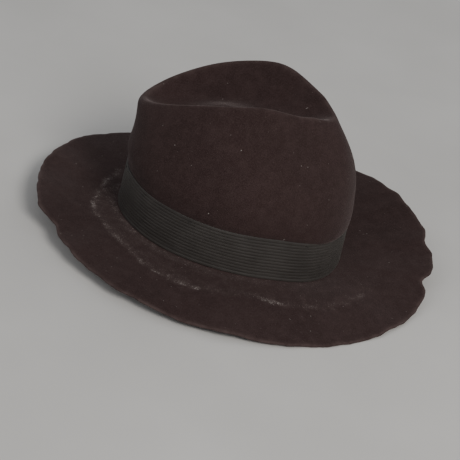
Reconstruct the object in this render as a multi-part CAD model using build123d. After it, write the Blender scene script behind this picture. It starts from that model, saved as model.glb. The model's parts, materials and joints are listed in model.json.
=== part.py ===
"""Fedora hat: a creased felt hood with its ribbon, bow, sweatband and lining.

Frame: origin at the centre of the head opening, in the plane where crown and
brim meet. +X is the wearer's front, +Y the wearer's left, +Z up. Millimetres.
"""
import os
from math import cos, exp, hypot, pi, radians, sin

from build123d import *

# Driving dimensions ---------------------------------------------------------
FELT = 2.2                      # thickness of the felt

HEAD_A = 103.0                  # half length of the crown at the brim, outside
HEAD_B = 87.5                   # half width of the crown at the brim, outside
HEAD_X = -2.5                   # centre of that oval
HEAD_CORNER = 0.02              # how much fuller than an ellipse the front quarters are
WALL_LEAN = 0.04                # how far the lower wall leans in, per mm of height
WALL_TIP = 0.03                 # how far its centre moves back, per mm of height
BAND_ZONE = 46.0                # height of the plain part of the wall
FRONT_TUCK = 3.5                # how far in the foot of the wall stands at the front
FRONT_DIP = 8.5                 # how far crown and ribbon sag at the front
DIP_FROM = 0.42                 # cosine of the angle where that sag starts
DIP_TOP = 78.0                  # the sag is gone at this height

BRIM_A = 178.5                  # half length of the brim's outline
BRIM_B = 164.0                  # half width of the brim's outline
BRIM_X = 1.0                    # centre of the brim's outline
BRIM_CURVE = 1.5                # exponent of the brim's rise or fall towards its edge
BRIM_LIFT = -0.6                # mean height of the brim's edge

# Waves in the brim's edge: waves all round, height, angle of a crest in degrees.
BRIM_WAVES = [
    (1, 5.5, 110.0),
    (2, 8.3, 32.5),
    (3, 3.4, 46.6),
]

RIM_A = 81.5                    # half length of the ridge round the crease
RIM_B = 50.5                    # half width of that ridge
RIM_X = -20.0                   # centre of that ridge
SHOULDER = 6.5                  # how far the wall stands behind the ridge at the back
RIM_Z = 117.1                   # height of the ridge at its middle
RIM_RISE = 0.2                  # rise of the ridge towards the front, per mm
RIM_SIDE = 19.7                 # extra height of the ridge where it is 50 mm to a side
RIM_ROUND = 2.3                 # how far the ridge's control row stands above the ridge
RIM_TAPER = (0.3, 0.08)         # how much narrower the ridge's front and rear ends are
PEAK = (8.0, 22.0, 4.0)         # the ridge's highest part: centre x, half length, height
NOSE_DROP = (44.0, 64.0, 5.0)   # the ridge falls at the nose: from x, to x, fall

CREASE_FLOOR = 102.0            # height of the crease's floor at the middle
CREASE_CURVE = 2.6              # exponent of the crease's rise towards the ridge

WALL_LEAN_IN = (1.9, 0.3, 0.9)  # exponent of the upper wall's lean: sides, front, rear
BULGE = (2.5, -1.2, 1.0)        # swell just above the ribbon: sides, front, rear
BULGE_AT = 0.16                 # place of that swell, from the ribbon (0) to the ridge (1)

RIBBON_HEIGHT = 38.0
RIBBON_THICK = 0.9
RIBBON_FOOT = 0.8               # height of the ribbon's lower edge above the head opening

# Places inside the crown are distances out from the wall's outer face, so they are negative.
LEATHER_FOOT = -1.8             # height of the sweatband's turned lower edge
LEATHER_HEIGHT = 57.0
LEATHER_THICK = 0.9
LEATHER_OUT = (-3.25, -2.85, -3.45)     # outer face at its foot, at the felt's lower wall, at its top
LEATHER_KNEE = 10.0             # height of the middle one
REED_Z, REED_OUT, REED_RADIUS = -0.8, -2.13, 0.75
TAPE_FOOT, TAPE_TOP, TAPE_OUT, TAPE_THICK = 3.0, 12.0, -2.35, 0.3
SEAM = (178.6, 181.4)           # leather strip over the sweatband's joint: angles in degrees
SEAM_FOOT, SEAM_TOP, SEAM_THICK = 7.0, 50.0, 0.6
REAR_BOW = (173.5, 179.4, 180.6, 186.5)     # its two loops: angles in degrees
REAR_KNOT = (179.5, 180.5)
REAR_BOW_FOOT, REAR_BOW_TOP, REAR_BOW_THICK = 8.0, 13.0, 1.2

LINING_THICK = 0.4
LINING_FOOT = 36.0              # the lining starts behind the sweatband
LINING_KNEE = 58.0              # above this height its side draws in
LINING_TOP = 80.0
LINING_OUT = (-2.45, -3.0, -16.0)       # outer face at those three heights
TIP_OUT = -17.0                 # edge of the lining's oval tip
PIPING_OUT, PIPING_RADIUS = -15.0, 0.7
TAG = (188, 195)                # paper tag behind the sweatband: angles in degrees
TAG_FOOT, TAG_TOP, TAG_OUT, TAG_THICK = 22.0, 34.0, -2.75, 0.2

TOP_Z = 84.0                    # the crown's side and top are parted at this height
COLUMN_OUT = 8.0                # crown and brim are parted by the wall's outline there, this far out
COLUMN = 130.0                  # long enough to pass the felt's top and bottom

SNAP_X = 108.0                  # line across the brim where its front bends
SNAP_GAP = 0.4
SNAP_DEPTH = 75.0               # from that line past the front edge

ANGLES = 96                     # points round each section of the felt
ROW_STEP = 0.5                  # spacing of the felt's sections, in control rows
CLEAR = 0.15                    # air between pieces that lie on each other

# Nicks and lobes in the worn brim edge: angle and depth in mm, width in degrees.
NICKS = [
    (206, -2.5, 3.0),
    (216, 6.0, 4.5),
    (227, 2.0, 2.2),
    (246, -1.6, 4.0),
    (358, 7.0, 3.6),
    (18, 4.0, 3.4),
    (38, 1.3, 2.6),
    (47, 1.6, 2.0),
    (168, 1.0, 4.0),
]

# Pinches in each side of the crown: centre x, z, half length, half height, depth.
PINCHES = [
    (60, 102, 22, 20, 9.0),
    (10, 110, 45, 13, 3.0),
]

# The raised island in the crease: centre x, y, half length, half width, height.
ISLAND = (-28.0, 3.0, 26.0, 13.0, 12.0)

# Places of the felt's control rows: across the crease, up the upper wall,
# heights on the plain wall, and across the brim.
CREASE_ROWS = (0, 0.25, 0.5, 0.72, 0.88)
UPPER_ROWS = (0.93, 0.83, 0.7, 0.55, 0.4, 0.26, 0.14)
WALL_ROWS = (BAND_ZONE, 34, 22, 11, 3.5, 0)
BRIM_ROWS = (0.08, 0.25, 0.45, 0.65, 0.85, 1.0)
LAST_ROW = len(CREASE_ROWS + UPPER_ROWS + WALL_ROWS + BRIM_ROWS)

# The bow, on the wearer's left: angles in degrees.
BOW_LAP = (84, 104)             # the ribbon's second end, under the bow
BOW_FRONT = (68, 92)            # front loop, from its fold to its open end
BOW_REAR = (116, 94.5)          # rear loop, likewise
BOW_KNOT = (89, 98)
BOW_TAIL = (98.5, 118)
BOW_FOLD = 1.6                  # width of a loop's fold
BOW_DEPTH = 4.0                 # thickness of a flat loop


# The shape of the felt ------------------------------------------------------
def mix(a, b, t):
    return a + (b - a) * t


def smooth(a, b, x):
    t = min(1.0, max(0.0, (x - a) / (b - a)))
    return t * t * (3 - 2 * t)


def nick_depth(angle):
    """Depth of the nicks in the brim edge at an angle in degrees."""
    total = 0.0
    for centre, depth, width in NICKS:
        off = (angle - centre + 180) % 360 - 180
        total += depth * exp(-(off / width) ** 2)
    return total


def brim_edge(q):
    """A point on the brim's edge: an oval that waves up and down."""
    scale = 1 - nick_depth(q * 180 / pi) / BRIM_A
    z = BRIM_LIFT
    for count, height, crest in BRIM_WAVES:
        z += height * cos(count * (q - radians(crest)))
    return (BRIM_X + BRIM_A * cos(q) * scale, BRIM_B * sin(q) * scale, z)


def wall(q, z, out=0.0):
    """A point on the plain lower wall, or out from it by a distance."""
    ahead = max(0.0, cos(q))
    corner = 1.0
    if ahead > 0:
        corner += HEAD_CORNER * sin(2 * q) ** 2
    tuck = FRONT_TUCK * ahead ** 2 * (1 - z / BAND_ZONE)
    dip = FRONT_DIP * smooth(DIP_FROM, 1.05, ahead) * smooth(DIP_TOP, BAND_ZONE, z)
    half_length = HEAD_A - (WALL_LEAN + WALL_TIP) * z + out - tuck
    half_width = HEAD_B - WALL_LEAN * z + out
    x = HEAD_X - WALL_TIP * z + half_length * cos(q) * corner
    return (x, half_width * sin(q) * corner, z - dip)


def rim(q):
    """A point on the ridge round the crease."""
    x = RIM_X + RIM_A * cos(q)
    taper = RIM_TAPER[0] if cos(q) > 0 else RIM_TAPER[1]
    y = RIM_B * sin(q) * (1 - taper * cos(q) ** 2)
    z = RIM_Z + RIM_RISE * x + RIM_SIDE * (y / 50) ** 2
    centre, length, height = PEAK
    z += height * exp(-((x - centre) / length) ** 2)
    start, end, fall = NOSE_DROP
    z -= fall * smooth(start, end, x)
    return (x, y, z)


def crease(q, s):
    """A point in the crease: s is 0 at its middle and 1 at the ridge."""
    rx, ry, rz = rim(q)
    x = mix(RIM_X, rx, s)
    y = ry * s
    floor = CREASE_FLOOR + RIM_RISE * x
    cx, cy, lx, ly, height = ISLAND
    island = height * exp(-((x - cx) / lx) ** 2 - ((y - cy) / ly) ** 2)
    return (x, y, mix(floor, rz, s ** CREASE_CURVE) + island * (1 - s ** 4))


def pinch_depth(x, z):
    total = 0.0
    for cx, cz, lx, lz, depth in PINCHES:
        total += depth * exp(-((x - cx) / lx) ** 2 - ((z - cz) / lz) ** 2)
    return total


def upper_wall(q, t):
    """A point on the wall between the ribbon (t = 0) and the ridge (t = 1)."""
    bx, by, bz = wall(q, BAND_ZONE)
    rx, ry, rz = rim(q)
    ahead = max(0.0, cos(q))
    behind = max(0.0, -cos(q))
    sides, front, rear = WALL_LEAN_IN
    lean = t ** (sides + front * ahead ** 4 + rear * behind ** 4)
    rx -= SHOULDER * behind ** 2
    sides, front, rear = BULGE
    swell = t / BULGE_AT * exp(1 - t / BULGE_AT)
    bulge = (sides + front * ahead ** 2 + rear * behind) * swell
    nx, ny = cos(q) / HEAD_A, sin(q) / HEAD_B
    size = hypot(nx, ny)
    x = mix(bx, rx, lean) + bulge * nx / size
    y = mix(by, ry, lean) + bulge * ny / size
    z = mix(bz, rz, t)
    y -= pinch_depth(x, z) * max(-1.0, min(1.0, y / 25))
    return (x, y, z)


def brim(q, u):
    """A point on the brim: u is 0 at the wall and 1 at the edge."""
    bx, by, bz = wall(q, 0)
    ex, ey, ez = brim_edge(q)
    z = bz * (1 - u) ** BRIM_CURVE + ez * u ** BRIM_CURVE
    return (mix(bx, ex, u), mix(by, ey, u), z)


def control_rows(q):
    """The felt's profile at one angle, from the crease to the brim edge."""
    rx, ry, rz = rim(q)
    rows = [crease(q, s) for s in CREASE_ROWS]
    rows.append((rx, ry, rz + RIM_ROUND))
    rows += [upper_wall(q, t) for t in UPPER_ROWS]
    rows += [wall(q, z) for z in WALL_ROWS]
    rows += [brim(q, u) for u in BRIM_ROWS]
    return rows


def spline_point(rows, v):
    """The point at v on the smooth cubic that the control rows pull on."""
    i = min(int(v), LAST_ROW - 1)
    t = v - i
    first = tuple(2 * a - b for a, b in zip(rows[0], rows[1]))
    last = tuple(2 * a - b for a, b in zip(rows[-1], rows[-2]))
    padded = [first] + rows + [last]
    weights = (
        (1 - t) ** 3 / 6,
        (3 * t ** 3 - 6 * t ** 2 + 4) / 6,
        (-3 * t ** 3 + 3 * t ** 2 + 3 * t + 1) / 6,
        t ** 3 / 6,
    )
    near = padded[i:i + 4]
    return Vector(*(sum(w * p[k] for w, p in zip(weights, near)) for k in range(3)))


def felt_point(q, v, depth=0.0):
    """A point on the felt's upper face, or a depth below it."""
    point = spline_point(control_rows(q), v)
    if depth == 0:
        return point
    step = 0.02
    low, high = max(0.0, v - step), min(float(LAST_ROW), v + step)
    along = spline_point(control_rows(q), high) - spline_point(control_rows(q), low)
    across = spline_point(control_rows(q + step), v) - spline_point(control_rows(q - step), v)
    return point - along.cross(across).normalized() * depth


def felt_section(v, depth):
    """One closed section round the felt."""
    points = [felt_point(2 * pi * k / ANGLES, v, depth) for k in range(ANGLES)]
    return Wire([Edge.make_spline(points, periodic=True)])


def felt_hood():
    """The whole felt, crown and brim in one, as it leaves the block."""
    places = [ROW_STEP * k for k in range(1, round(LAST_ROW / ROW_STEP) + 1)]
    top = spline_point(control_rows(0.0), 0.0)
    outer = [felt_section(v, 0.0) for v in places]
    inner = [felt_section(v, FELT) for v in reversed(places)]
    poles = Vertex(*top), Vertex(*(top - Vector(0, 0, FELT)))
    return Solid.make_loft([poles[0]] + outer + inner + [poles[1]], ruled=True)


# Building blocks ------------------------------------------------------------
def outline(z, out):
    """A closed line that follows the wall at a height."""
    return Edge.make_spline([wall(2 * pi * k / 48, z, out) for k in range(48)], periodic=True)


def hoop(section):
    """A solid ring round the crown whose section has these corners, each (z, out)."""
    lines = [outline(z, out) for z, out in section]
    pairs = zip(lines, lines[1:] + lines[:1])
    return Solid(Shell([Face.make_surface_from_curves(a, b) for a, b in pairs]))


def ring(levels):
    """A closed strip round the crown: levels are (z, outer out, inner out)."""
    outer = [(z, out) for z, out, _ in levels]
    inner = [(z, out) for z, _, out in reversed(levels)]
    return hoop(outer + inner)


def patch(q0, q1, z0, z1, out0, out1, steps=8):
    """A curved plate on the wall, between two angles in degrees and two heights."""
    sections = []
    for z in (z0, z1):
        angles = [radians(mix(q0, q1, k / steps)) for k in range(steps + 1)]
        far = Edge.make_spline([wall(q, z, out1) for q in angles])
        near = Edge.make_spline([wall(q, z, out0) for q in angles])
        ends = [
            Edge.make_line(wall(angles[-1], z, out1), wall(angles[-1], z, out0)),
            Edge.make_line(wall(angles[0], z, out0), wall(angles[0], z, out1)),
        ]
        sections.append(Wire([far, ends[0], near, ends[1]]))
    return Solid.make_loft(sections, ruled=True)


def oval_cord(z, out, radius, sides=12):
    """A round cord laid round the crown at a height."""
    turns = [2 * pi * k / sides for k in range(sides)]
    return hoop([(z + radius * sin(a), out + radius * cos(a)) for a in turns])


def stitch(q, z, out, length, radius=0.3, upright=False):
    """One thread stitch lying on the wall."""
    step = 0.02
    middle = Vector(*wall(q, z, out))
    along = (Vector(*wall(q + step, z, out)) - middle).normalized()
    direction = Vector(0, 0, 1) if upright else along
    start = middle - direction * (length / 2)
    return Solid.make_cylinder(radius, length, Plane(start, z_dir=direction))


def stitches(angles, z, out, length, radius=0.3, upright=False):
    """A row of separate stitches, one at each angle in degrees."""
    made = [stitch(radians(a), z, out, length, radius, upright) for a in angles]
    return Compound(children=made)


# Sub-parts ------------------------------------------------------------------
def snap_block(x0):
    """Everything in front of a line across the brim, below the crown's nose."""
    return Pos(x0 + SNAP_DEPTH / 2, 0, 0) * Box(SNAP_DEPTH, 2 * BRIM_B + 40, 70)


def make_felt():
    """The hood, parted into the crown's top and side and the brim's rear and front."""
    hood = felt_hood()
    head = Face(Wire([outline(TOP_Z, COLUMN_OUT)]))
    side_column = Solid.extrude(head, Vector(0, 0, -COLUMN))
    top_column = Solid.extrude(head, Vector(0, 0, COLUMN))
    brim_ring = hood - side_column - top_column
    return {
        "crown_top": hood & top_column,
        "crown_side": hood & side_column,
        "rear_brim": brim_ring - snap_block(SNAP_X),
        "front_brim": brim_ring & snap_block(SNAP_X + SNAP_GAP),
    }


RIBBON_FACE = CLEAR + RIBBON_THICK
RIBBON_TOP = RIBBON_FOOT + RIBBON_HEIGHT


def make_ribbon_band():
    return ring([(RIBBON_FOOT + 2.0, RIBBON_FACE, CLEAR), (RIBBON_TOP, RIBBON_FACE, CLEAR)])


BOW_FOOT = RIBBON_FOOT + 2.6
BOW_TOP = RIBBON_TOP - 0.6


def make_band_lap():
    """The ribbon's second end, laid over the first under the bow."""
    face = RIBBON_FACE + CLEAR
    return patch(*BOW_LAP, BOW_FOOT, BOW_TOP, face, face + RIBBON_THICK)


LOOP_NEAR = RIBBON_FACE + 2 * CLEAR + RIBBON_THICK
LOOP_FAR = LOOP_NEAR + BOW_DEPTH
KNOT_NEAR = LOOP_FAR + CLEAR
KNOT_FAR = KNOT_NEAR + RIBBON_THICK


def make_loop(q_fold, q_open):
    """A flat ribbon loop of the bow: two layers joined by a fold at its tip."""
    tip = q_fold + (BOW_FOLD if q_open < q_fold else -BOW_FOLD)
    low, high = sorted((q_fold, q_open))
    back = patch(low, high, BOW_FOOT, BOW_TOP, LOOP_NEAR, LOOP_NEAR + RIBBON_THICK)
    front = patch(low, high, BOW_FOOT, BOW_TOP, LOOP_FAR - RIBBON_THICK, LOOP_FAR)
    fold_low, fold_high = sorted((q_fold, tip))
    fold = patch(fold_low, fold_high, BOW_FOOT, BOW_TOP, LOOP_NEAR, LOOP_FAR, 2)
    return back + front + fold


def make_bow_knot():
    """The short wrap round the middle of the bow."""
    return patch(*BOW_KNOT, BOW_FOOT, BOW_TOP, KNOT_NEAR, KNOT_FAR)


def make_bow_tail():
    """The loose end below the rear loop, cut on a slant."""
    tail = patch(*BOW_TAIL, BOW_FOOT, BOW_TOP - 6, KNOT_NEAR, KNOT_FAR)
    end = wall(radians(BOW_TAIL[1]), BOW_TOP - 4, KNOT_NEAR)
    return tail - Pos(*end) * Rot(0, 35, 0) * Box(24, 20, 34)


def make_band_stitches():
    """Tacks that hold the ribbon to the felt, spaced round its upper edge."""
    angles = [15 + 30 * k for k in range(12)]
    return stitches(angles, RIBBON_TOP - 3.0, RIBBON_FACE + CLEAR + 0.3, 3.0)


def make_bow_stitches():
    """Upright tacks through the bow's wrap."""
    out = KNOT_FAR + CLEAR + 0.3
    low = stitches([91, 96], BOW_FOOT + 4, out, 3.0, upright=True)
    high = stitches([91, 96], BOW_TOP - 4, out, 3.0, upright=True)
    return Compound(children=list(low.solids()) + list(high.solids()))


def make_sweatband():
    """The leather that meets the head, turned up inside the crown."""
    heights = (LEATHER_FOOT, LEATHER_KNEE, LEATHER_FOOT + LEATHER_HEIGHT)
    return ring([(z, out, out - LEATHER_THICK) for z, out in zip(heights, LEATHER_OUT)])


def make_reed():
    """The thin plastic reed that stiffens the sweatband's lower edge."""
    return oval_cord(REED_Z, REED_OUT, REED_RADIUS)


def make_reed_tape():
    """The tape that carries the reed, stitched behind the sweatband."""
    inner = TAPE_OUT - TAPE_THICK
    return ring([(TAPE_FOOT, TAPE_OUT, inner), (TAPE_TOP, TAPE_OUT, inner)])


SWEAT_INSIDE = LEATHER_OUT[1] - LEATHER_THICK
SEAM_OUT = SWEAT_INSIDE - 0.7


def make_sweatband_stitches():
    """The row that joins the sweatband to the reed tape."""
    angles = [5 * k + 2.5 for k in range(72)]
    return stitches(angles, 6.0, SWEAT_INSIDE - 0.62, 4.5, 0.25)


def make_sweatband_seam():
    """The narrow leather strip over the sweatband's joint, at the back."""
    return patch(*SEAM, SEAM_FOOT, SEAM_TOP, SEAM_OUT - SEAM_THICK, SEAM_OUT, 2)


def make_rear_bow():
    """The small ribbon bow that marks the back of the sweatband."""
    out = SEAM_OUT - SEAM_THICK - CLEAR
    inner = out - REAR_BOW_THICK
    left = patch(*REAR_BOW[:2], REAR_BOW_FOOT, REAR_BOW_TOP, inner, out, 3)
    right = patch(*REAR_BOW[2:], REAR_BOW_FOOT, REAR_BOW_TOP, inner, out, 3)
    knot = patch(*REAR_KNOT, REAR_BOW_FOOT - 0.2, REAR_BOW_TOP + 0.2, inner - 0.6, out, 2)
    return left + right, knot


def make_lining():
    """The satin side strip, its flat tip and the piping between them."""
    heights = (LINING_FOOT, LINING_KNEE, LINING_TOP)
    side = ring([(z, out, out - LINING_THICK) for z, out in zip(heights, LINING_OUT)])
    edge = Wire([outline(LINING_TOP + CLEAR, TIP_OUT)])
    tip = Solid.extrude(Face(edge), Vector(0, 0, LINING_THICK))
    piping = oval_cord(LINING_TOP + LINING_THICK / 2, PIPING_OUT, PIPING_RADIUS)
    return side, tip, piping


def make_lining_stitches():
    """Tacks at the lining's foot, behind the sweatband."""
    angles = [20 * k + 10 for k in range(18)]
    return stitches(angles, LINING_FOOT + 1.5, LINING_OUT[0] - LINING_THICK - 0.2, 3.0, 0.1)


def make_size_tag():
    """A blank paper tag tucked behind the sweatband."""
    return patch(*TAG, TAG_FOOT, TAG_TOP, TAG_OUT, TAG_OUT + TAG_THICK, 3)


def main():
    rear_loops, rear_knot = make_rear_bow()
    lining_side, lining_tip, lining_piping = make_lining()
    parts = {
        **make_felt(),
        "ribbon_band": make_ribbon_band(),
        "ribbon_lap": make_band_lap(),
        "bow_front_loop": make_loop(*BOW_FRONT),
        "bow_rear_loop": make_loop(*BOW_REAR),
        "bow_knot": make_bow_knot(),
        "bow_tail": make_bow_tail(),
        "ribbon_tacks": make_band_stitches(),
        "bow_tacks": make_bow_stitches(),
        "sweatband": make_sweatband(),
        "sweatband_reed": make_reed(),
        "reed_tape": make_reed_tape(),
        "sweatband_stitches": make_sweatband_stitches(),
        "sweatband_seam": make_sweatband_seam(),
        "rear_bow_loops": rear_loops,
        "rear_bow_knot": rear_knot,
        "lining_side": lining_side,
        "lining_tip": lining_tip,
        "lining_piping": lining_piping,
        "lining_tacks": make_lining_stitches(),
        "size_tag": make_size_tag(),
    }
    os.makedirs("parts", exist_ok=True)
    for name, shape in parts.items():
        export_step(shape, f"parts/{name}.step")


main()
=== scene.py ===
"""Looks of the fedora hat: worn felt, ribbed ribbon and bow, sweatband and lining.

Lengths that follow the hat's shape are in millimetres and turned into metres
where a mesh is made. +X is the wearer's front, +Y the wearer's left, +Z up.
"""

import json
from math import cos, pi, radians, sin

import bpy
import numpy as np
from mathutils import Matrix, Vector

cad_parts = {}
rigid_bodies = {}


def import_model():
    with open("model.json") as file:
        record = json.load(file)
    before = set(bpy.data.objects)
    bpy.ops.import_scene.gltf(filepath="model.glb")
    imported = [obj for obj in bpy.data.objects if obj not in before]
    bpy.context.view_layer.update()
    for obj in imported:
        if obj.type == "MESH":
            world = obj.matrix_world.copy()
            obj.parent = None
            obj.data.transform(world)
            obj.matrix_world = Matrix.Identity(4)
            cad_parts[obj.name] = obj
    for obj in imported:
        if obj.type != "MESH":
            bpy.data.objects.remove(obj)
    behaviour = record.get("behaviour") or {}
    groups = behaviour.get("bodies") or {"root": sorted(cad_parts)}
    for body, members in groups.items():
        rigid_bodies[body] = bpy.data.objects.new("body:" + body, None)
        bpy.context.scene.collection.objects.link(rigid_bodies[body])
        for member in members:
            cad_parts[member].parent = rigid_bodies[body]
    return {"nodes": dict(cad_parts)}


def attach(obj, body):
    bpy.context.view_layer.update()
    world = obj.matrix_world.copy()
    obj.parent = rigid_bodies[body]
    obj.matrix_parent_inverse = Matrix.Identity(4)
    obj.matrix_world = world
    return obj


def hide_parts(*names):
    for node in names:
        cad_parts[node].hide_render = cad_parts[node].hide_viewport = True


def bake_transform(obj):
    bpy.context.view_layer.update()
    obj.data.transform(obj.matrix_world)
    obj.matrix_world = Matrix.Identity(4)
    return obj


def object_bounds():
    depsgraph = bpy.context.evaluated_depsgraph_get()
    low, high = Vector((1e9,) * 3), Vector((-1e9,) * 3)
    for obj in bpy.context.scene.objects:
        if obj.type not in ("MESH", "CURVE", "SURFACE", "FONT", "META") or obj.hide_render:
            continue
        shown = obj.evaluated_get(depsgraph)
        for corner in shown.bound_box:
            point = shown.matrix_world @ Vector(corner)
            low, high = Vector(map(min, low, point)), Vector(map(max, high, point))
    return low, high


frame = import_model()
CAD_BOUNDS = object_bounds()

MM = 0.001
TAU = 2 * pi

# Driving dimensions of the hat, in millimetres, as in the part's source ------
FELT = 2.2                      # thickness of the felt

HEAD_A, HEAD_B, HEAD_X = 103.0, 87.5, -2.5
HEAD_CORNER = 0.02
WALL_LEAN = 0.04
WALL_TIP = 0.03
BAND_ZONE = 46.0
FRONT_TUCK, FRONT_DIP = 3.5, 8.5
DIP_FROM, DIP_TOP = 0.42, 78.0

BRIM_A, BRIM_B, BRIM_X = 178.5, 164.0, 1.0
BRIM_CURVE = 1.5
BRIM_LIFT = -0.6
BRIM_WAVES = [(1, 5.5, 110.0), (2, 8.3, 32.5), (3, 3.4, 46.6)]

RIM_A, RIM_B, RIM_X = 81.5, 50.5, -20.0
SHOULDER = 6.5
RIM_Z, RIM_RISE, RIM_SIDE = 117.1, 0.2, 19.7
RIM_ROUND = 2.3
RIM_TAPER = (0.3, 0.08)
PEAK = (8.0, 22.0, 4.0)
NOSE_DROP = (44.0, 64.0, 5.0)
CREASE_FLOOR = 102.0
CREASE_CURVE = 2.6
WALL_LEAN_IN = (1.9, 0.3, 0.9)
BULGE = (2.5, -1.2, 1.0)
BULGE_AT = 0.16

RIBBON_FOOT, RIBBON_HEIGHT, RIBBON_THICK = 0.8, 38.0, 0.9
RIBBON_RIBS = 13
CLEAR = 0.15

LEATHER_THICK = 0.9
LEATHER_LEVELS = [(-1.8, -3.25), (10.0, -2.85), (55.2, -3.45)]
LINING_THICK = 0.4
LINING_LEVELS = [(36.0, -2.45), (58.0, -3.0), (80.0, -16.0)]
TIP_OUT = -17.0

CREASE_ROWS = (0, 0.25, 0.5, 0.72, 0.88)
UPPER_ROWS = (0.93, 0.83, 0.7, 0.55, 0.4, 0.26, 0.14)
WALL_ROWS = (BAND_ZONE, 34, 22, 11, 3.5, 0)
BRIM_ROWS = (0.08, 0.25, 0.45, 0.65, 0.85, 1.0)
RIM_ROW = len(CREASE_ROWS)
BREAK_ROW = len(CREASE_ROWS + UPPER_ROWS + WALL_ROWS)

# Nicks and lobes in the worn brim edge: angle and depth in mm, width in degrees.
NICKS = [
    (206, -2.5, 3.0),
    (216, 6.0, 4.5),
    (227, 2.0, 2.2),
    (246, -1.6, 4.0),
    (358, 7.0, 3.6),
    (18, 4.0, 3.4),
    (38, 1.3, 2.6),
    (47, 1.6, 2.0),
    (168, 1.0, 4.0),
]

# Pinches in each side of the crown: centre x, z, half length, half height, depth.
PINCHES = [
    (60, 102, 22, 20, 9.0),
    (10, 110, 45, 13, 3.0),
]
ISLAND = (-28.0, 3.0, 26.0, 13.0, 12.0)

# Looks only, not in the part: the swell over the ribbon, and a worn hollow.
RIBBON_SWELL = (1.0, 2.2)       # how far the felt swells out: at the sides, at the front
SWELL_FOOT, SWELL_SAG = 39.2, 3.0
HOLLOW = (42.0, -45.0, 110.0)   # the hollow's centre
HOLLOW_SPREAD = (19.0, 17.0, 10.0)
HOLLOW_DEPTH = 2.2

# The tide line of dried salt on the brim: angle, place across the brim, strength.
SALT_LINE = [
    (5, 0.50, 0.0),
    (60, 0.40, 0.05),
    (110, 0.32, 0.2),
    (140, 0.28, 0.5),
    (154, 0.26, 0.9),
    (168, 0.22, 0.6),
    (186, 0.27, 0.9),
    (198, 0.33, 1.0),
    (206, 0.38, 0.8),
    (214, 0.37, 0.7),
    (226, 0.36, 0.7),
    (237, 0.37, 0.6),
    (244, 0.44, 0.7),
    (252, 0.46, 1.0),
    (263, 0.48, 1.0),
    (272, 0.43, 0.8),
    (278, 0.42, 0.6),
    (284, 0.33, 0.7),
    (290, 0.36, 0.9),
    (297, 0.43, 1.0),
    (305, 0.46, 0.8),
    (317, 0.51, 0.5),
    (328, 0.49, 0.4),
    (336, 0.50, 0.8),
    (342, 0.49, 0.5),
    (348, 0.49, 0.0),
]

# How much dust lies inside that line: angle, strength.
SALT_HAZE = [
    (5, 0.15),
    (70, 0.2),
    (120, 0.4),
    (150, 0.7),
    (185, 1.0),
    (225, 1.0),
    (250, 0.85),
    (285, 0.6),
    (310, 0.55),
    (335, 0.35),
    (350, 0.2),
]

ANGLES = 480                    # points round the felt
STEPS = 6                       # points between two control rows


# Small helpers --------------------------------------------------------------
def mix(a, b, t):
    return a + (b - a) * t


def smooth(a, b, x):
    t = np.clip((x - a) / (b - a), 0.0, 1.0)
    return t * t * (3 - 2 * t)


def stack(x, y, z):
    return np.stack(np.broadcast_arrays(x, y, z), axis=-1).astype(float)


def ripple(q, waves):
    """A sum of sines round the hat: waves are (count, size, phase)."""
    total = np.zeros_like(q)
    for count, size, phase in waves:
        total = total + size * np.sin(count * q + phase)
    return total


# The shape of the felt ------------------------------------------------------
def nick_depth(angle):
    total = np.zeros_like(angle)
    for centre, depth, width in NICKS:
        off = (angle - centre + 180) % 360 - 180
        total = total + depth * np.exp(-(off / width) ** 2)
    return total


EDGE_WEAR = [(23, 0.35, 0.4), (37, 0.3, 1.9), (61, 0.22, 3.3), (97, 0.15, 0.7)]
EDGE_FLUTTER = [(9, 0.7, 1.1), (14, 0.5, 2.6), (21, 0.35, 0.3)]


def brim_edge(q):
    scale = 1 - (nick_depth(np.degrees(q)) + ripple(q, EDGE_WEAR)) / BRIM_A
    z = BRIM_LIFT + ripple(q, EDGE_FLUTTER)
    for count, height, crest in BRIM_WAVES:
        z = z + height * np.cos(count * (q - radians(crest)))
    return stack(BRIM_X + BRIM_A * np.cos(q) * scale, BRIM_B * np.sin(q) * scale, z)


def wall(q, z, out=0.0):
    ahead = np.maximum(0.0, np.cos(q))
    corner = 1 + np.where(ahead > 0, HEAD_CORNER * np.sin(2 * q) ** 2, 0.0)
    tuck = FRONT_TUCK * ahead ** 2 * (1 - z / BAND_ZONE)
    dip = FRONT_DIP * smooth(DIP_FROM, 1.05, ahead) * smooth(DIP_TOP, BAND_ZONE, z)
    half_length = HEAD_A - (WALL_LEAN + WALL_TIP) * z + out - tuck
    half_width = HEAD_B - WALL_LEAN * z + out
    x = HEAD_X - WALL_TIP * z + half_length * np.cos(q) * corner
    return stack(x, half_width * np.sin(q) * corner, z - dip)


def rim(q):
    x = RIM_X + RIM_A * np.cos(q)
    taper = np.where(np.cos(q) > 0, *RIM_TAPER)
    y = RIM_B * np.sin(q) * (1 - taper * np.cos(q) ** 2)
    z = RIM_Z + RIM_RISE * x + RIM_SIDE * (y / 50) ** 2
    centre, length, height = PEAK
    z = z + height * np.exp(-((x - centre) / length) ** 2)
    start, end, fall = NOSE_DROP
    return stack(x, y, z - fall * smooth(start, end, x))


def crease(q, s):
    r = rim(q)
    x = mix(RIM_X, r[..., 0], s)
    y = r[..., 1] * s
    floor = CREASE_FLOOR + RIM_RISE * x
    cx, cy, lx, ly, height = ISLAND
    island = height * np.exp(-((x - cx) / lx) ** 2 - ((y - cy) / ly) ** 2)
    return stack(x, y, mix(floor, r[..., 2], s ** CREASE_CURVE) + island * (1 - s ** 4))


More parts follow.
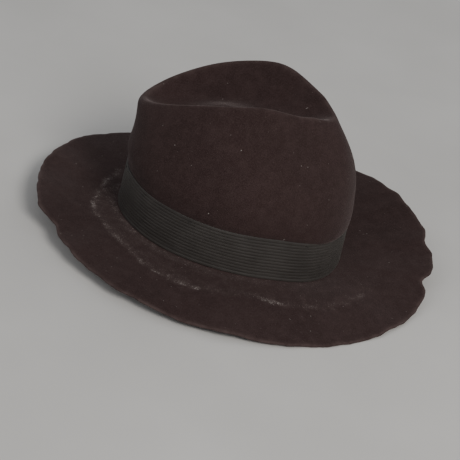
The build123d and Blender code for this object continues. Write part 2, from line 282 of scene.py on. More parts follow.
def upper_wall(q, t):
    b = wall(q, BAND_ZONE)
    r = rim(q)
    ahead = np.maximum(0.0, np.cos(q))
    behind = np.maximum(0.0, -np.cos(q))
    sides, front, rear = WALL_LEAN_IN
    lean = t ** (sides + front * ahead ** 4 + rear * behind ** 4)
    rx = r[..., 0] - SHOULDER * behind ** 2
    sides, front, rear = BULGE
    swell = t / BULGE_AT * np.exp(1 - t / BULGE_AT)
    bulge = (sides + front * ahead ** 2 + rear * behind) * swell
    nx, ny = np.cos(q) / HEAD_A, np.sin(q) / HEAD_B
    size = np.hypot(nx, ny)
    x = mix(b[..., 0], rx, lean) + bulge * nx / size
    y = mix(b[..., 1], r[..., 1], lean) + bulge * ny / size
    z = mix(b[..., 2], r[..., 2], t)
    pinch = np.zeros_like(x)
    for cx, cz, lx, lz, depth in PINCHES:
        pinch = pinch + depth * np.exp(-((x - cx) / lx) ** 2 - ((z - cz) / lz) ** 2)
    return stack(x, y - pinch * np.clip(y / 25, -1, 1), z)


def brim(q, u):
    b = wall(q, 0.0)
    e = brim_edge(q)
    z = b[..., 2] * (1 - u) ** BRIM_CURVE + e[..., 2] * u ** BRIM_CURVE
    return stack(mix(b[..., 0], e[..., 0], u), mix(b[..., 1], e[..., 1], u), z)


def control_rows(q):
    r = rim(q)
    r[..., 2] += RIM_ROUND
    rows = [crease(q, s) for s in CREASE_ROWS]
    rows.append(r)
    rows += [upper_wall(q, t) for t in UPPER_ROWS]
    rows += [wall(q, float(z)) for z in WALL_ROWS]
    rows += [brim(q, u) for u in BRIM_ROWS]
    return np.array(rows)


def spline_rows(rows, stations):
    """The smooth cubic that the control rows pull on, at each station."""
    first = 2 * rows[0] - rows[1]
    last = 2 * rows[-1] - rows[-2]
    padded = np.concatenate([first[None], rows, last[None]])
    made = []
    for v in stations:
        i = min(int(v), len(rows) - 2)
        t = v - i
        made.append(
            (1 - t) ** 3 / 6 * padded[i]
            + (3 * t ** 3 - 6 * t ** 2 + 4) / 6 * padded[i + 1]
            + (-3 * t ** 3 + 3 * t ** 2 + 3 * t + 1) / 6 * padded[i + 2]
            + t ** 3 / 6 * padded[i + 3]
        )
    return np.array(made)


# Mesh making ----------------------------------------------------------------
def normals_of(grid, closed):
    """Unit normals of a (rows, points, 3) grid; closed says the points go right round."""
    if closed:
        across = np.roll(grid, -1, axis=1) - np.roll(grid, 1, axis=1)
    else:
        across = np.gradient(grid, axis=1)
    along = np.gradient(grid, axis=0)
    normal = np.cross(along, across)
    size = np.linalg.norm(normal, axis=-1, keepdims=True)
    return normal / np.maximum(size, 1e-9)


def grid_faces(rows, points, closed_points, closed_rows=False):
    """Quads over a grid of vertices numbered row by row."""
    row_ids = np.arange(rows if closed_rows else rows - 1)
    point_ids = np.arange(points if closed_points else points - 1)
    r, p = np.meshgrid(row_ids, point_ids, indexing="ij")
    r2, p2 = (r + 1) % rows, (p + 1) % points
    quads = np.stack([r * points + p, r * points + p2, r2 * points + p2, r2 * points + p], axis=-1)
    return quads.reshape(-1, 4)


def make_mesh(name, vertices, faces, material, uvs=None, values=None):
    """A smooth-shaded mesh object; vertices are in millimetres."""
    mesh = bpy.data.meshes.new(name)
    mesh.from_pydata((np.asarray(vertices) * MM).tolist(), [], [list(map(int, f)) for f in faces])
    if uvs is not None:
        layer = mesh.uv_layers.new(name="UVMap")
        loops = np.zeros(len(mesh.loops), dtype=np.int32)
        mesh.loops.foreach_get("vertex_index", loops)
        layer.data.foreach_set("uv", np.asarray(uvs, dtype=np.float32)[loops].ravel())
    for key, data in (values or {}).items():
        attribute = mesh.attributes.new(key, "FLOAT", "POINT")
        attribute.data.foreach_set("value", np.asarray(data, dtype=np.float32))
    mesh.polygons.foreach_set("use_smooth", [True] * len(mesh.polygons))
    mesh.validate()
    mesh.update()
    piece = bpy.data.objects.new(name, mesh)
    bpy.context.scene.collection.objects.link(piece)
    mesh.materials.append(material)
    return piece


def sleeve(name, grid, material, uvs=None, values=None):
    """A tube-like closed skin: a grid closed both round the hat and round its section."""
    rows, points = grid.shape[:2]
    faces = grid_faces(rows, points, True, True)
    return make_mesh(name, grid.reshape(-1, 3), faces, material, uvs, values)


# Node materials -------------------------------------------------------------
class Nodes:
    """A short way to write a node tree."""

    def __init__(self, name):
        self.material = bpy.data.materials.new(name)
        self.material.use_nodes = True
        self.tree = self.material.node_tree
        self.tree.nodes.clear()
        self.shader = self.add("ShaderNodeBsdfPrincipled")
        output = self.add("ShaderNodeOutputMaterial")
        self.tree.links.new(self.shader.outputs[0], output.inputs["Surface"])

    def add(self, kind, **inputs):
        node = self.tree.nodes.new(kind)
        for key, value in inputs.items():
            self.put(node, key, value)
        return node

    def put(self, node, key, value):
        socket = node.inputs[key.replace("_", " ")] if isinstance(key, str) else node.inputs[key]
        if isinstance(value, bpy.types.NodeSocket):
            self.tree.links.new(value, socket)
        else:
            socket.default_value = value

    def math(self, operation, a, b=0.0, clamp=False):
        node = self.tree.nodes.new("ShaderNodeMath")
        node.operation = operation
        node.use_clamp = clamp
        self.put(node, 0, a)
        self.put(node, 1, b)
        return node.outputs[0]

    def noise(self, scale, detail=3.0, rough=0.55, vector=None, lift=0.0):
        node = self.add("ShaderNodeTexNoise", Scale=scale, Detail=detail, Roughness=rough)
        if vector is not None:
            self.put(node, "Vector", vector)
        if lift:
            node.inputs["Distortion"].default_value = lift
        return node.outputs["Fac"]

    def range(self, value, low, high, to_low=0.0, to_high=1.0):
        node = self.tree.nodes.new("ShaderNodeMapRange")
        node.interpolation_type = "SMOOTHSTEP"
        for index, item in enumerate((value, low, high, to_low, to_high)):
            self.put(node, index, item)
        return node.outputs[0]

    def blend(self, fac, a, b, mode="MIX"):
        node = self.tree.nodes.new("ShaderNodeMix")
        node.data_type = "RGBA"
        node.blend_type = mode
        self.put(node, 0, fac)
        self.put(node, 6, a if isinstance(a, bpy.types.NodeSocket) else (*a, 1.0))
        self.put(node, 7, b if isinstance(b, bpy.types.NodeSocket) else (*b, 1.0))
        return node.outputs[2]

    def objects(self):
        return self.tree.nodes.new("ShaderNodeTexCoord").outputs["Object"]

    def value(self, name):
        node = self.tree.nodes.new("ShaderNodeAttribute")
        node.attribute_name = name
        return node.outputs["Fac"]

    def stretch(self, vector, scale):
        node = self.tree.nodes.new("ShaderNodeMapping")
        self.put(node, "Vector", vector)
        node.inputs["Scale"].default_value = scale
        return node.outputs["Vector"]

    def bump(self, height, distance, strength=1.0, below=None):
        node = self.add("ShaderNodeBump", Strength=strength, Distance=distance, Height=height)
        if below is not None:
            self.put(node, "Normal", below)
        return node.outputs["Normal"]

    def finish(self, color, normal=None, roughness=0.9, sheen=0.0, sheen_rough=0.5,
               sheen_tint=(1.0, 1.0, 1.0), specular=0.5, coat=0.0):
        s = self.shader
        self.put(s, "Base Color", color if isinstance(color, bpy.types.NodeSocket) else (*color, 1.0))
        self.put(s, "Roughness", roughness)
        s.inputs["Sheen Weight"].default_value = sheen
        s.inputs["Sheen Roughness"].default_value = sheen_rough
        s.inputs["Sheen Tint"].default_value = (*sheen_tint, 1.0)
        s.inputs["Specular IOR Level"].default_value = specular
        s.inputs["Coat Weight"].default_value = coat
        if normal is not None:
            self.put(s, "Normal", normal)
        return self.material


FELT_DARK = (0.029, 0.0172, 0.0165)
FELT_MID = (0.039, 0.0235, 0.0225)
FELT_LIGHT = (0.072, 0.048, 0.046)
# Lighter felt: real wear at the brim edge, also used as a painted highlight along the crease ridge.
FELT_WEAR_AND_HIGHLIGHT = (0.105, 0.075, 0.070)
SALT = (0.40, 0.365, 0.345)


def felt_material():
    n = Nodes("worn_felt")
    at = n.objects()
    cloud = n.noise(13.0, 4.0, 0.55, at, 0.6)
    mottle = n.noise(120.0, 4.0, 0.6, at)
    nap = n.noise(1000.0, 3.0, 0.7, at)
    fibre = n.noise(2400.0, 2.0, 0.6, n.stretch(at, (1.0, 0.5, 1.0)))
    color = n.blend(n.range(cloud, 0.25, 0.75), FELT_DARK, FELT_MID)
    color = n.blend(n.range(mottle, 0.35, 0.8, 0.0, 0.30), color, FELT_LIGHT)
    color = n.blend(n.range(nap, 0.42, 0.72, 0.0, 0.42), color, FELT_LIGHT)
    color = n.blend(n.range(nap, 0.50, 0.28, 0.0, 0.35), color, (0.016, 0.009, 0.009))
    # Lighter felt where the mask is high: real wear along the brim edge, and a painted highlight along the
    # crease ridge.
    wear_and_highlight = n.math("MULTIPLY", n.value("wear_and_highlight"), n.range(mottle, 0.3, 0.65, 0.35, 1.0))
    color = n.blend(wear_and_highlight, color, FELT_WEAR_AND_HIGHLIGHT)

    patch = n.range(n.noise(60.0, 4.0, 0.65, at), 0.38, 0.62, 0.15, 1.0)
    speck = n.noise(1100.0, 2.0, 0.75, at)
    dense = n.math("MULTIPLY", n.value("haze"), n.range(mottle, 0.35, 0.65, 0.45, 1.0))
    dense = n.math("ADD", dense, n.math("MULTIPLY", n.value("tide"), n.math("MULTIPLY", patch, 1.4)))
    low = n.math("SUBTRACT", 0.69, n.math("MULTIPLY", dense, 0.21))
    dust = n.range(speck, low, n.math("ADD", low, 0.12), 0.0, 0.85)
    strong = n.math("MULTIPLY", n.value("tide"), patch, True)
    color = n.blend(n.math("MULTIPLY", dense, 0.26, True), color, (0.135, 0.108, 0.100))
    color = n.blend(dust, color, n.blend(strong, (0.22, 0.19, 0.175), SALT))

    lint = n.range(n.noise(330.0, 1.0, 0.4, n.stretch(at, (1.0, 2.2, 0.7))), 0.79, 0.82, 0.0, 0.7)
    color = n.blend(lint, color, (0.34, 0.31, 0.29))
    height = n.math("ADD", n.math("MULTIPLY", nap, 0.7), n.math("MULTIPLY", fibre, 0.3))
    normal = n.bump(height, 0.0007, 0.6)
    normal = n.bump(mottle, 0.0010, 0.2, normal)
    normal = n.bump(dust, 0.0004, 0.5, normal)
    return n.finish(color, normal, 0.95, 0.16, 0.38, (0.95, 0.80, 0.78), 0.10)


def ribbon_material():
    """Dark ribbon: fine cross threads over the ribs, placed by UVs in millimetres."""
    n = Nodes("ribbed_ribbon")
    uv = n.tree.nodes.new("ShaderNodeUVMap")
    uv.uv_map = "UVMap"
    uv = uv.outputs[0]
    split = n.add("ShaderNodeSeparateXYZ", Vector=uv)
    threads = n.math("SINE", n.math("MULTIPLY", split.outputs[0], TAU / 0.45))
    threads = n.math("ADD", n.math("MULTIPLY", threads, 0.5), 0.5)
    streak = n.noise(1.0, 3.0, 0.6, n.stretch(uv, (0.05, 1.9, 1.0)))
    fade = n.noise(0.035, 3.0, 0.5, uv)
    dust = n.range(n.noise(1.7, 3.0, 0.7, uv), 0.60, 0.75, 0.0, 0.30)
    color = n.blend(n.range(fade, 0.3, 0.7), (0.029, 0.0245, 0.0215), (0.047, 0.0410, 0.0370))
    color = n.blend(n.range(streak, 0.35, 0.75, 0.0, 0.45), color, (0.080, 0.071, 0.064))
    # Painted shade: the grooves between the ribs are darkened.
    color = n.blend(n.math("MULTIPLY", n.value("groove"), 0.40), color, (0.013, 0.011, 0.009))
    color = n.blend(n.math("MULTIPLY", threads, 0.15), color, (0.012, 0.010, 0.009))
    color = n.blend(dust, color, (0.13, 0.115, 0.105))
    normal = n.bump(threads, 0.00012, 0.6)
    normal = n.bump(n.noise(2.4, 2.0, 0.5, uv), 0.00010, 0.5, normal)
    return n.finish(color, normal, 0.50, 0.08, 0.35, (1.0, 0.95, 0.88), 0.42)


def leather_material():
    n = Nodes("sweatband_leather")
    at = n.objects()
    grain = n.add("ShaderNodeTexVoronoi", Scale=1100.0, Vector=at)
    grain.feature = "DISTANCE_TO_EDGE"
    cells = n.range(grain.outputs["Distance"], 0.0, 0.25)
    patches = n.noise(28.0, 4.0, 0.6, at)
    soil = n.noise(9.0, 3.0, 0.5, n.stretch(at, (1.0, 1.0, 3.0)))
    color = n.blend(n.range(patches, 0.3, 0.7), (0.17, 0.085, 0.042), (0.26, 0.145, 0.078))
    color = n.blend(n.range(soil, 0.45, 0.7, 0.0, 0.75), color, (0.07, 0.038, 0.024))
    color = n.blend(n.range(cells, 0.0, 0.5, 0.3, 0.0), color, (0.05, 0.028, 0.018))
    normal = n.bump(cells, 0.00025, 0.4)
    normal = n.bump(n.noise(160.0, 3.0, 0.5, at), 0.0006, 0.3, normal)
    return n.finish(color, normal, n.range(patches, 0.2, 0.8, 0.38, 0.6), 0.0, 0.5, (1, 1, 1), 0.45, 0.0)


def satin_material(name, dark, light):
    n = Nodes(name)
    at = n.objects()
    thread = n.noise(1500.0, 2.0, 0.5, n.stretch(at, (1.0, 1.0, 0.12)))
    cloud = n.noise(22.0, 3.0, 0.5, at)
    color = n.blend(n.range(cloud, 0.3, 0.7), dark, light)
    color = n.blend(n.range(thread, 0.3, 0.8, 0.0, 0.35), color, tuple(1.7 * c for c in light))
    normal = n.bump(thread, 0.00015, 0.45)
    return n.finish(color, normal, n.range(thread, 0.2, 0.8, 0.30, 0.46), 0.25, 0.3, (1, 0.95, 0.9), 0.6)


def thread_material(name, dark, light, scale=2200.0):
    n = Nodes(name)
    at = n.objects()
    twist = n.noise(scale, 2.0, 0.5, n.stretch(at, (1.0, 1.0, 0.5)))
    color = n.blend(n.range(twist, 0.35, 0.65), dark, light)
    return n.finish(color, n.bump(twist, 0.0002, 0.6), 0.7, 0.1, 0.5, (1, 1, 1), 0.3)


def plastic_material():
    n = Nodes("reed_plastic")
    cloud = n.noise(60.0, 3.0, 0.5, n.objects())
    color = n.blend(n.range(cloud, 0.3, 0.7), (0.42, 0.38, 0.30), (0.55, 0.50, 0.41))
    return n.finish(color, n.bump(cloud, 0.0001, 0.3), 0.35, 0.0, 0.5, (1, 1, 1), 0.5)


def paper_material():
    n = Nodes("tag_paper")
    at = n.objects()
    pulp = n.noise(700.0, 4.0, 0.6, at)
    stain = n.noise(90.0, 2.0, 0.5, at)
    color = n.blend(n.range(stain, 0.4, 0.7), (0.52, 0.46, 0.34), (0.36, 0.29, 0.19))
    color = n.blend(n.range(pulp, 0.4, 0.7, 0.0, 0.3), color, (0.62, 0.57, 0.46))
    return n.finish(color, n.bump(pulp, 0.0001, 0.4), 0.85)


# The felt -------------------------------------------------------------------
def around(table, angle, column):
    """A value read from a table by angle in degrees, going right round."""
    angles = np.array([row[0] for row in table], dtype=float)
    values = np.array([row[column] for row in table], dtype=float)
    return np.interp(angle, angles, values, period=360)


TIDE_WANDER = [(31, 0.010, 0.2), (53, 0.008, 1.3), (88, 0.006, 2.0), (143, 0.004, 0.9)]


def salt_line(q, u):
    """The tide line: sharp on its outer side, fading inwards."""
    angle = np.degrees(q)
    behind = u - around(SALT_LINE, angle, 1) - ripple(q, TIDE_WANDER)
    line = np.where(behind > 0, np.exp(-(behind / 0.013) ** 2), np.exp(-(behind / 0.045) ** 2))
    return 0.62 * around(SALT_LINE, angle, 2) * line


def salt_haze(q, u):
    """Dust between the tide line and the ribbon, thickest near both."""
    angle = np.degrees(q)
    behind = u - around(SALT_LINE, angle, 1) - ripple(q, TIDE_WANDER)
    inside = smooth(0.01, -0.05, behind) * smooth(-0.02, 0.03, u)
    near_line = np.exp(-(behind / 0.09) ** 2)
    near_foot = np.exp(-((u - 0.05) / 0.07) ** 2)
    return around(SALT_HAZE, angle, 1) * inside * (0.25 + 0.6 * near_line + 0.5 * near_foot)


def ribbon_swell(q, z):
    """The felt's swell over the ribbon's upper edge, sagging over it at the front."""
    ahead = smooth(0.3, 0.95, np.cos(q))
    level = z + FRONT_DIP * smooth(DIP_FROM, 1.05, np.cos(q))
    size = mix(RIBBON_SWELL[0], RIBBON_SWELL[1], ahead)
    start = SWELL_FOOT - SWELL_SAG * ahead
    return size * smooth(start, start + 3.0, level) * smooth(64.0, 45.0, level)


def soft_dents(points):
    """Slow uneven swellings of the old felt, in mm."""
    x, y, z = points[..., 0], points[..., 1], points[..., 2]
    slow = np.sin(x / 23 + 0.7) * np.sin(y / 19 + 1.2) * np.sin(z / 21 + 0.4)
    quick = np.sin(x / 9.5 + 2.1) * np.sin(y / 11 + 0.3) * np.sin(z / 8.2 + 1.9)
    apart = (((points - HOLLOW) / HOLLOW_SPREAD) ** 2).sum(axis=-1)
    return 0.55 * slow + 0.16 * quick - HOLLOW_DEPTH * np.exp(-apart)


def build_felt(material):
    q = np.arange(ANGLES) * TAU / ANGLES
    rows = control_rows(q)
    last = len(rows) - 1
    stations = np.linspace(0, last, last * STEPS + 1)[1:]
    top = spline_rows(rows, stations)
    normal = normals_of(top, True)
    if normal[-2, :, 2].mean() < 0:
        normal = -normal
    lift = soft_dents(top) * smooth(0.0, 2.0, stations)[:, None]
    lift = lift + ribbon_swell(q[None, :], top[..., 2]) * (stations < BREAK_ROW)[:, None]
    top = top + normal * lift[..., None]
    under = top - normal * FELT
    outward = top[-1] - top[-2]
    outward = outward / np.linalg.norm(outward, axis=-1, keepdims=True)
    middle = top[-1] - normal[-1] * FELT / 2
    edge = [
        middle + FELT / 2 * (normal[-1] * cos(a) + outward * sin(a))
        for a in (radians(40), radians(75), radians(105), radians(140))
    ]
    grid = np.concatenate([top, np.array(edge), under[::-1]])
    edge_u = np.ones((len(edge), ANGLES))
    u = np.interp(stations, np.arange(BREAK_ROW - 3, last + 1), (-0.3, -0.1, -0.04, 0.0) + BRIM_ROWS)
    u_top = np.repeat(u[:, None], ANGLES, axis=1)
    tide, haze = salt_line(q[None, :], u_top), salt_haze(q[None, :], u_top)
    worn_edge = 0.45 * np.exp(-((1 - u_top) / 0.02) ** 2)
    # Painted highlight along the crease ridge, added to the brim edge's wear in one mask.
    ridge_highlight = 0.4 * np.exp(-((stations[:, None] - RIM_ROW) / 0.32) ** 2) * np.ones_like(u_top)
    wear_and_highlight = np.concatenate([worn_edge + ridge_highlight, 0.5 * edge_u, worn_edge[::-1] * 0.5])
    count = len(grid)
    vertices = grid.reshape(-1, 3)
    faces = grid_faces(count, ANGLES, True).tolist()
    first_pole = top[0].mean(axis=0)
    last_pole = under[0].mean(axis=0)
    vertices = np.concatenate([vertices, [first_pole], [last_pole]])
    pole_a, pole_b = count * ANGLES, count * ANGLES + 1
    for k in range(ANGLES):
        after = (k + 1) % ANGLES
        base = (count - 1) * ANGLES
        faces.append([pole_a, after, k])
        faces.append([pole_b, base + k, base + after])
    clean = 0 * u_top
    values = {
        "tide": np.concatenate([tide.ravel(), 0 * edge_u.ravel(), clean.ravel(), [0, 0]]),
        "haze": np.concatenate([haze.ravel(), 0 * edge_u.ravel(), clean.ravel(), [0, 0]]),
        "wear_and_highlight": np.concatenate([wear_and_highlight.ravel(), [0, 0]]),
    }
    return make_mesh("felt", vertices, faces, material, None, values)


# Ribbon and bow -------------------------------------------------------------
def rib_profile(share, ribs=RIBBON_RIBS):
    """Height of the ribs across a ribbon, 0 in a groove and 1 on a rib."""
    return np.abs(np.sin(pi * ribs * share)) ** 0.55


RIB_DEPTH = 0.28


def build_ribbon_band(material):
    q = np.arange(ANGLES) * TAU / ANGLES
    share = np.linspace(0, 1, RIBBON_RIBS * 8 + 1)
    foot = RIBBON_FOOT + 0.25 * np.sin(3 * q + 0.5) + 0.15 * np.sin(7 * q)
    top = RIBBON_FOOT + RIBBON_HEIGHT + 0.3 * np.sin(2 * q + 1.0) + 0.15 * np.sin(9 * q)
    length = HEAD_A * q
    front, back, groove, uvs = [], [], [], []
    for s in share:
        z = mix(foot, top, s)
        rib = rib_profile(s)
        out = CLEAR + RIBBON_THICK - RIB_DEPTH + RIB_DEPTH * rib
        out = out + 0.10 * np.sin(5 * q + 4 * s) + 0.35 * smooth(0.12, 0.0, s)
        front.append(wall(q, z, out))
        groove.append(np.full(len(q), 1 - rib))
        uvs.append(np.stack([length, np.full(len(q), s * RIBBON_HEIGHT)], axis=-1))
    for s in share[::8][::-1]:
        back.append(wall(q, mix(foot, top, s), CLEAR + 0.0 * q))
        groove.append(np.zeros(len(q)))
        uvs.append(np.stack([length, np.full(len(q), s * RIBBON_HEIGHT)], axis=-1))
    grid = np.array(front + back)
    uvs = np.array(uvs).reshape(-1, 2)
    return sleeve("ribbon", grid, material, uvs, {"groove": np.array(groove).ravel()})


def strip(name, path, low, high, material, thick=RIBBON_THICK, ribs=RIBBON_RIBS, slant=0.0):
    """A length of ribbon that follows a path of (angle, out) along the wall.

    low and high are its edges; slant draws back its end's upper corner, in degrees.
    """
    path = np.array(path, dtype=float)
    fine = spline_rows(path, np.linspace(0, len(path) - 1, (len(path) - 1) * 8 + 1))
    share = np.linspace(0, 1, ribs * 6 + 1)
    run = np.linspace(0, 1, len(fine))
    rows = []
    for s in share:
        angle = np.radians(fine[:, 0] - slant * s * run)
        z = mix(low, high, s) + 0.0 * angle
        rows.append(wall(angle, z, fine[:, 1]))
    middle = np.array(rows)
    normal = normals_of(middle, False)
    rib = rib_profile(share, ribs)[:, None, None]
    front = middle + normal * (thick / 2 - RIB_DEPTH * (1 - rib))
    back = middle - normal * (thick / 2 - RIB_DEPTH * (1 - rib))
    steps = np.linalg.norm(np.diff(middle[0], axis=0), axis=-1)
    length = np.concatenate([[0], np.cumsum(steps)])
    uv = np.stack(np.broadcast_arrays(length[None, :], (share * (high - low))[:, None]), axis=-1)
    groove = np.repeat(1 - rib[:, 0], len(fine), axis=1)
    rows_n, points_n = middle.shape[:2]
    count = rows_n * points_n
    faces_front = grid_faces(rows_n, points_n, False)
    faces_back = grid_faces(rows_n, points_n, False)[:, ::-1] + count
    ring_ids = np.concatenate([
        np.arange(points_n),
        np.arange(1, rows_n) * points_n + points_n - 1,
        (rows_n - 1) * points_n + np.arange(points_n - 1)[::-1],
        np.arange(1, rows_n - 1)[::-1] * points_n,
    ])
    after = np.roll(ring_ids, -1)
    sides = np.stack([after, ring_ids, ring_ids + count, after + count], axis=-1)
    faces = np.concatenate([faces_front, faces_back, sides])
    vertices = np.concatenate([front.reshape(-1, 3), back.reshape(-1, 3)])
    uvs = np.concatenate([uv.reshape(-1, 2)] * 2)
    values = {"groove": np.concatenate([groove.ravel()] * 2)}
    return make_mesh(name, vertices, faces, material, uvs, values)


RIBBON_FACE = CLEAR + RIBBON_THICK
LAP_FACE = RIBBON_FACE + CLEAR + RIBBON_THICK
BOW_FOOT = RIBBON_FOOT + 2.6
BOW_TOP = RIBBON_FOOT + RIBBON_HEIGHT - 0.6
BOW_DEPTH = 4.0


def build_bow(material):
    """The lap, two flat loops and a tail, on the wearer's left; the wrap over them is made by
    build_bow_knot.
    """
    lap_out = RIBBON_FACE + CLEAR + RIBBON_THICK / 2
    near = LAP_FACE + CLEAR + RIBBON_THICK / 2
    far = near + BOW_DEPTH - RIBBON_THICK
    lap = strip("ribbon_end", [(84, lap_out), (90, lap_out), (97, lap_out), (104, lap_out)],
                BOW_FOOT, BOW_TOP, material)
    front = strip("bow_front", loop_path(92, 68, near, far), BOW_FOOT, BOW_TOP, material)
    rear = strip("bow_rear", loop_path(94.5, 116, near, far), BOW_FOOT, BOW_TOP, material)
    tail_out = far + RIBBON_THICK + CLEAR
    tail = strip("bow_end", [(97, tail_out), (104, tail_out + 0.4), (110, tail_out), (118, tail_out - 1.2)],
                 BOW_FOOT, BOW_TOP - 6, material, slant=6.0)
    return lap, front, rear, tail


def loop_path(start, tip, near, far):
    """Out along the back layer, round the fold at the tip, and back along the front."""
    way = 1 if tip > start else -1
    middle = (near + far) / 2
    return [
        (start, near),
        (mix(start, tip, 0.35), near),
        (mix(start, tip, 0.7), near),
        (tip, near),
        (tip + 1.1 * way, mix(near, middle, 0.5)),
        (tip + 1.4 * way, middle),
        (tip + 1.1 * way, mix(far, middle, 0.5)),
        (tip, far),
        (mix(start, tip, 0.7), far + 0.5),
        (mix(start, tip, 0.35), far + 0.2),
        (start, far - 0.3),
    ]


def build_bow_knot(material):
    """The short wrap round the bow's middle, its ribs upright."""
    across = np.linspace(0, 1, 4 * 8 + 1)
    up = np.linspace(0, 1, 33)
    base = LAP_FACE + CLEAR + BOW_DEPTH + CLEAR
    front, groove, uvs = [], [], []
    for v in up:
        z = mix(BOW_FOOT - 1.0, BOW_TOP + 1.0, v)
        ends = smooth(0.0, 0.07, v) * smooth(1.0, 0.93, v)
        angle = np.radians(mix(88.6, 98.4, across))
        rib = rib_profile(across, 4)
        out = mix(RIBBON_FACE + 0.6, base + RIBBON_THICK, ends)
        crown = 0.7 * np.sin(pi * across) ** 0.7 - 0.5
        front.append(wall(angle, z + 0 * angle, out + crown - RIB_DEPTH * (1 - rib)))
        groove.append(1 - rib)
        uvs.append(np.stack([np.full(len(across), z), across * 15.0], axis=-1))
    front = np.array(front)
    normal = normals_of(front, False)
    if (normal[..., 1].mean()) < 0:
        normal = -normal
    back = front - normal * 0.6
    rows_n, points_n = front.shape[:2]
    count = rows_n * points_n
    ring_ids = np.concatenate([
        np.arange(points_n),
        np.arange(1, rows_n) * points_n + points_n - 1,
        (rows_n - 1) * points_n + np.arange(points_n - 1)[::-1],
        np.arange(1, rows_n - 1)[::-1] * points_n,
    ])
    after = np.roll(ring_ids, -1)
    sides = np.stack([after, ring_ids, ring_ids + count, after + count], axis=-1)
    faces = np.concatenate([
        grid_faces(rows_n, points_n, False),
        grid_faces(rows_n, points_n, False)[:, ::-1] + count,
        sides,
    ])
    vertices = np.concatenate([front.reshape(-1, 3), back.reshape(-1, 3)])
    uvs = np.concatenate([np.array(uvs).reshape(-1, 2)] * 2)
    values = {"groove": np.concatenate([np.array(groove).ravel()] * 2)}
    return make_mesh("bow_wrap", vertices, faces, material, uvs, values)


# Sweatband and lining -------------------------------------------------------
def build_sweatband(material):
    """Leather turned up inside the crown, a little buckled by wear."""
    q = np.arange(ANGLES) * TAU / ANGLES
    heights = np.concatenate([[-1.8, -1.5], np.linspace(-0.6, 53.5, 40), [54.6, 55.0]])
    face, back = [], []
    for z in heights:
        base = np.interp(z, *zip(*LEATHER_LEVELS))
        free = smooth(14.0, 55.0, z)
        wave = free * (0.35 * np.sin(11 * q + z / 30) + 0.25 * np.sin(17 * q + 1.3) - 0.5)
        crease_line = 0.18 * np.exp(-((z - 12.5) / 0.5) ** 2)
        thin = 0.25 if z in (-1.8, 55.0) else 0.0
        outer = base + wave - thin
        inner = base + wave - LEATHER_THICK + thin + crease_line
        face.append(wall(q, z, outer))
        back.append(wall(q, z, inner))
    grid = np.array(face + back[::-1])
    return sleeve("sweatband_leather", grid, material)


def build_lining_side(material):
    """The gathered satin strip between sweatband and tip."""
    q = np.arange(2 * ANGLES) * TAU / (2 * ANGLES)
    share = np.linspace(0, 1, 34)
    face, back = [], []
    foot, top = LINING_LEVELS[0][0], LINING_LEVELS[-1][0]
    for s in share:
        z = mix(foot, top, s)
        base = np.interp(z, *zip(*LINING_LEVELS))
        gather = 0.9 * smooth(0.45, 1.0, s) * np.sin(74 * q + 2.5 * np.sin(5 * q))
        slack = 0.9 * np.sin(pi * s) * np.sin(13 * q + 3 * s) * smooth(0.3, 0.6, s)
        out = base - 0.4 + gather + slack - 1.0 * smooth(0.35, 0.6, s)
        face.append(wall(q, z, out))
        back.append(wall(q, z, out - LINING_THICK))
    grid = np.array(face + back[::-1])
    return sleeve("lining_strip", grid, material)


def build_lining_tip(material):
    """The oval top of the lining, sagging a little below its piping."""
    q = np.arange(240) * TAU / 240
    share = np.linspace(0.02, 1, 40)
    top = LINING_LEVELS[-1][0]
    edge = wall(q, top, TIP_OUT)
    centre = np.array([edge[:, 0].mean(), 0.0, 0.0])
    face = []
    for s in share:
        x = mix(centre[0], edge[:, 0], s)
        y = edge[:, 1] * s
        sag = -2.2 * (1 - s * s) + 0.35 * np.sin(x / 9) * np.sin(y / 11) * (1 - s)
        pucker = 0.3 * smooth(0.75, 1.0, s) * np.sin(74 * q)
        face.append(stack(x, y, top + 0.4 + sag + pucker))
    face = np.array(face)
    back = face - np.array([0, 0, LINING_THICK])
    grid = np.concatenate([face, back[::-1]])
    count, points = grid.shape[:2]
    faces = grid_faces(count, points, True).tolist()
    vertices = np.concatenate([grid.reshape(-1, 3), [face[0].mean(axis=0)], [back[0].mean(axis=0)]])
    a, b = count * points, count * points + 1
    for k in range(points):
        after = (k + 1) % points
        faces.append([a, after, k])
        faces.append([b, (count - 1) * points + k, (count - 1) * points + after])
    return make_mesh("lining_top", vertices, faces, material)


# Light, floor and camera ----------------------------------------------------
def add_light(name, place, aim, size, power, color):
    data = bpy.data.lights.new(name, "AREA")
    data.shape = "DISK"
    data.size = size
    data.energy = power
    data.color = color
    light = bpy.data.objects.new(name, data)
    light.location = place
    light.rotation_euler = (Vector(aim) - Vector(place)).to_track_quat("-Z", "Y").to_euler()
    bpy.context.scene.collection.objects.link(light)


def add_floor():
    height = CAD_BOUNDS[0][2]
    bpy.ops.mesh.primitive_circle_add(vertices=96, radius=14.0, fill_type="NGON", location=(0, 0, height))
    floor = bpy.context.object
    floor.name = "floor"
    n = Nodes("pale_floor")
    grain = n.noise(6.0, 3.0, 0.5, n.objects())
    color = n.blend(n.range(grain, 0.3, 0.7), (0.60, 0.59, 0.57), (0.64, 0.63, 0.61))
    floor.data.materials.append(n.finish(color, None, 0.95, 0.0, 0.5, (1, 1, 1), 0.1))


def add_world():
    world = bpy.data.worlds.new("studio")
    world.use_nodes = True
    world.node_tree.nodes["Background"].inputs["Color"].default_value = (0.95, 0.97, 1.0, 1.0)
    world.node_tree.nodes["Background"].inputs["Strength"].default_value = 0.35
    bpy.context.scene.world = world


CAMERA_AZIMUTH = 4.75
CAMERA_ELEVATION = 30.07
CAMERA_DISTANCE = 1.5006
CAMERA_ROLL = 13.83
CAMERA_AIM = (-0.0009, -0.0204, 0.0020)
FOCAL_LENGTH = 133.98


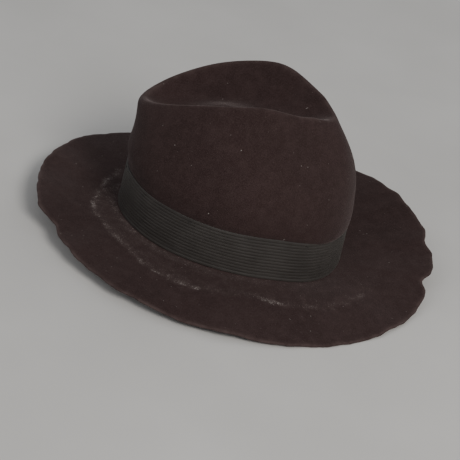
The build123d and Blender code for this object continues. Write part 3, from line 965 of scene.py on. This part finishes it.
def add_camera():
    data = bpy.data.cameras.new("camera")
    data.lens = FOCAL_LENGTH
    data.sensor_width = 36.0
    data.clip_end = 60.0
    camera = bpy.data.objects.new("camera", data)
    a, e = radians(CAMERA_AZIMUTH), radians(CAMERA_ELEVATION)
    back = Vector((sin(a) * cos(e), -cos(a) * cos(e), sin(e)))
    right = Vector((cos(a), sin(a), 0.0))
    up = back.cross(right)
    roll = radians(CAMERA_ROLL)
    rolled_right = cos(roll) * right + sin(roll) * up
    rolled_up = -sin(roll) * right + cos(roll) * up
    turn = Matrix((rolled_right, rolled_up, back)).transposed().to_4x4()
    camera.matrix_world = Matrix.Translation(Vector(CAMERA_AIM) + CAMERA_DISTANCE * back) @ turn
    bpy.context.scene.collection.objects.link(camera)
    bpy.context.scene.camera = camera


# Putting it together --------------------------------------------------------
def finish_node(node, material):
    """Gives a CAD node that stays visible its material."""
    piece = frame["nodes"][node]
    for slot in piece.material_slots:
        slot.material = material
    if not piece.material_slots:
        piece.data.materials.append(material)


def place(piece, slot, *nodes):
    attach(piece, "crown")
    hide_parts(*nodes)
    return piece


def main():
    felt = build_felt(felt_material())
    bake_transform(felt)
    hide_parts("crown_top", "crown_side", "rear_brim", "front_brim")

    ribbon = ribbon_material()
    band = place(build_ribbon_band(ribbon), "ribbon", "ribbon_band")
    lap, front, rear, tail = build_bow(ribbon)
    place(lap, "ribbon", "ribbon_lap")
    place(front, "ribbon", "bow_front_loop")
    place(rear, "ribbon", "bow_rear_loop")
    place(tail, "ribbon", "bow_tail")
    wrap = place(build_bow_knot(ribbon), "ribbon", "bow_knot")

    leather = leather_material()
    place(build_sweatband(leather), "leather", "sweatband")
    satin = satin_material("lining_satin", (0.060, 0.040, 0.034), (0.105, 0.075, 0.062))
    side = place(build_lining_side(satin), "satin", "lining_side")
    tip = place(build_lining_tip(satin), "satin", "lining_tip")

    dark_thread = thread_material("dark_thread", (0.016, 0.013, 0.013), (0.045, 0.038, 0.036))
    pale_thread = thread_material("pale_thread", (0.16, 0.12, 0.08), (0.30, 0.24, 0.17))
    small_ribbon = thread_material("small_bow_ribbon", (0.020, 0.017, 0.017), (0.060, 0.052, 0.050), 900.0)
    for node in ("ribbon_tacks", "bow_tacks"):
        finish_node(node, dark_thread)
    for node in ("sweatband_stitches", "lining_tacks"):
        finish_node(node, pale_thread)
    for node in ("rear_bow_loops", "rear_bow_knot"):
        finish_node(node, small_ribbon)
    finish_node("sweatband_seam", leather)
    piping = satin_material("piping_satin", (0.020, 0.014, 0.013), (0.050, 0.036, 0.032))
    finish_node("lining_piping", piping)
    finish_node("sweatband_reed", plastic_material())
    finish_node("reed_tape", thread_material("cotton_tape", (0.20, 0.16, 0.12), (0.34, 0.29, 0.23), 1600.0))
    finish_node("size_tag", paper_material())

    add_floor()
    add_world()
    add_light("key", (1.3, -1.7, 1.8), (0.0, 0.0, 0.05), 1.1, 42.0, (1.0, 0.97, 0.93))
    add_light("fill", (-1.9, -1.9, 1.7), (0.0, 0.0, 0.05), 2.0, 15.0, (0.98, 0.98, 1.0))
    add_light("rim", (1.4, 1.8, 1.6), (0.0, 0.0, 0.08), 1.5, 8.0, (1.0, 0.99, 0.97))
    add_camera()


main()
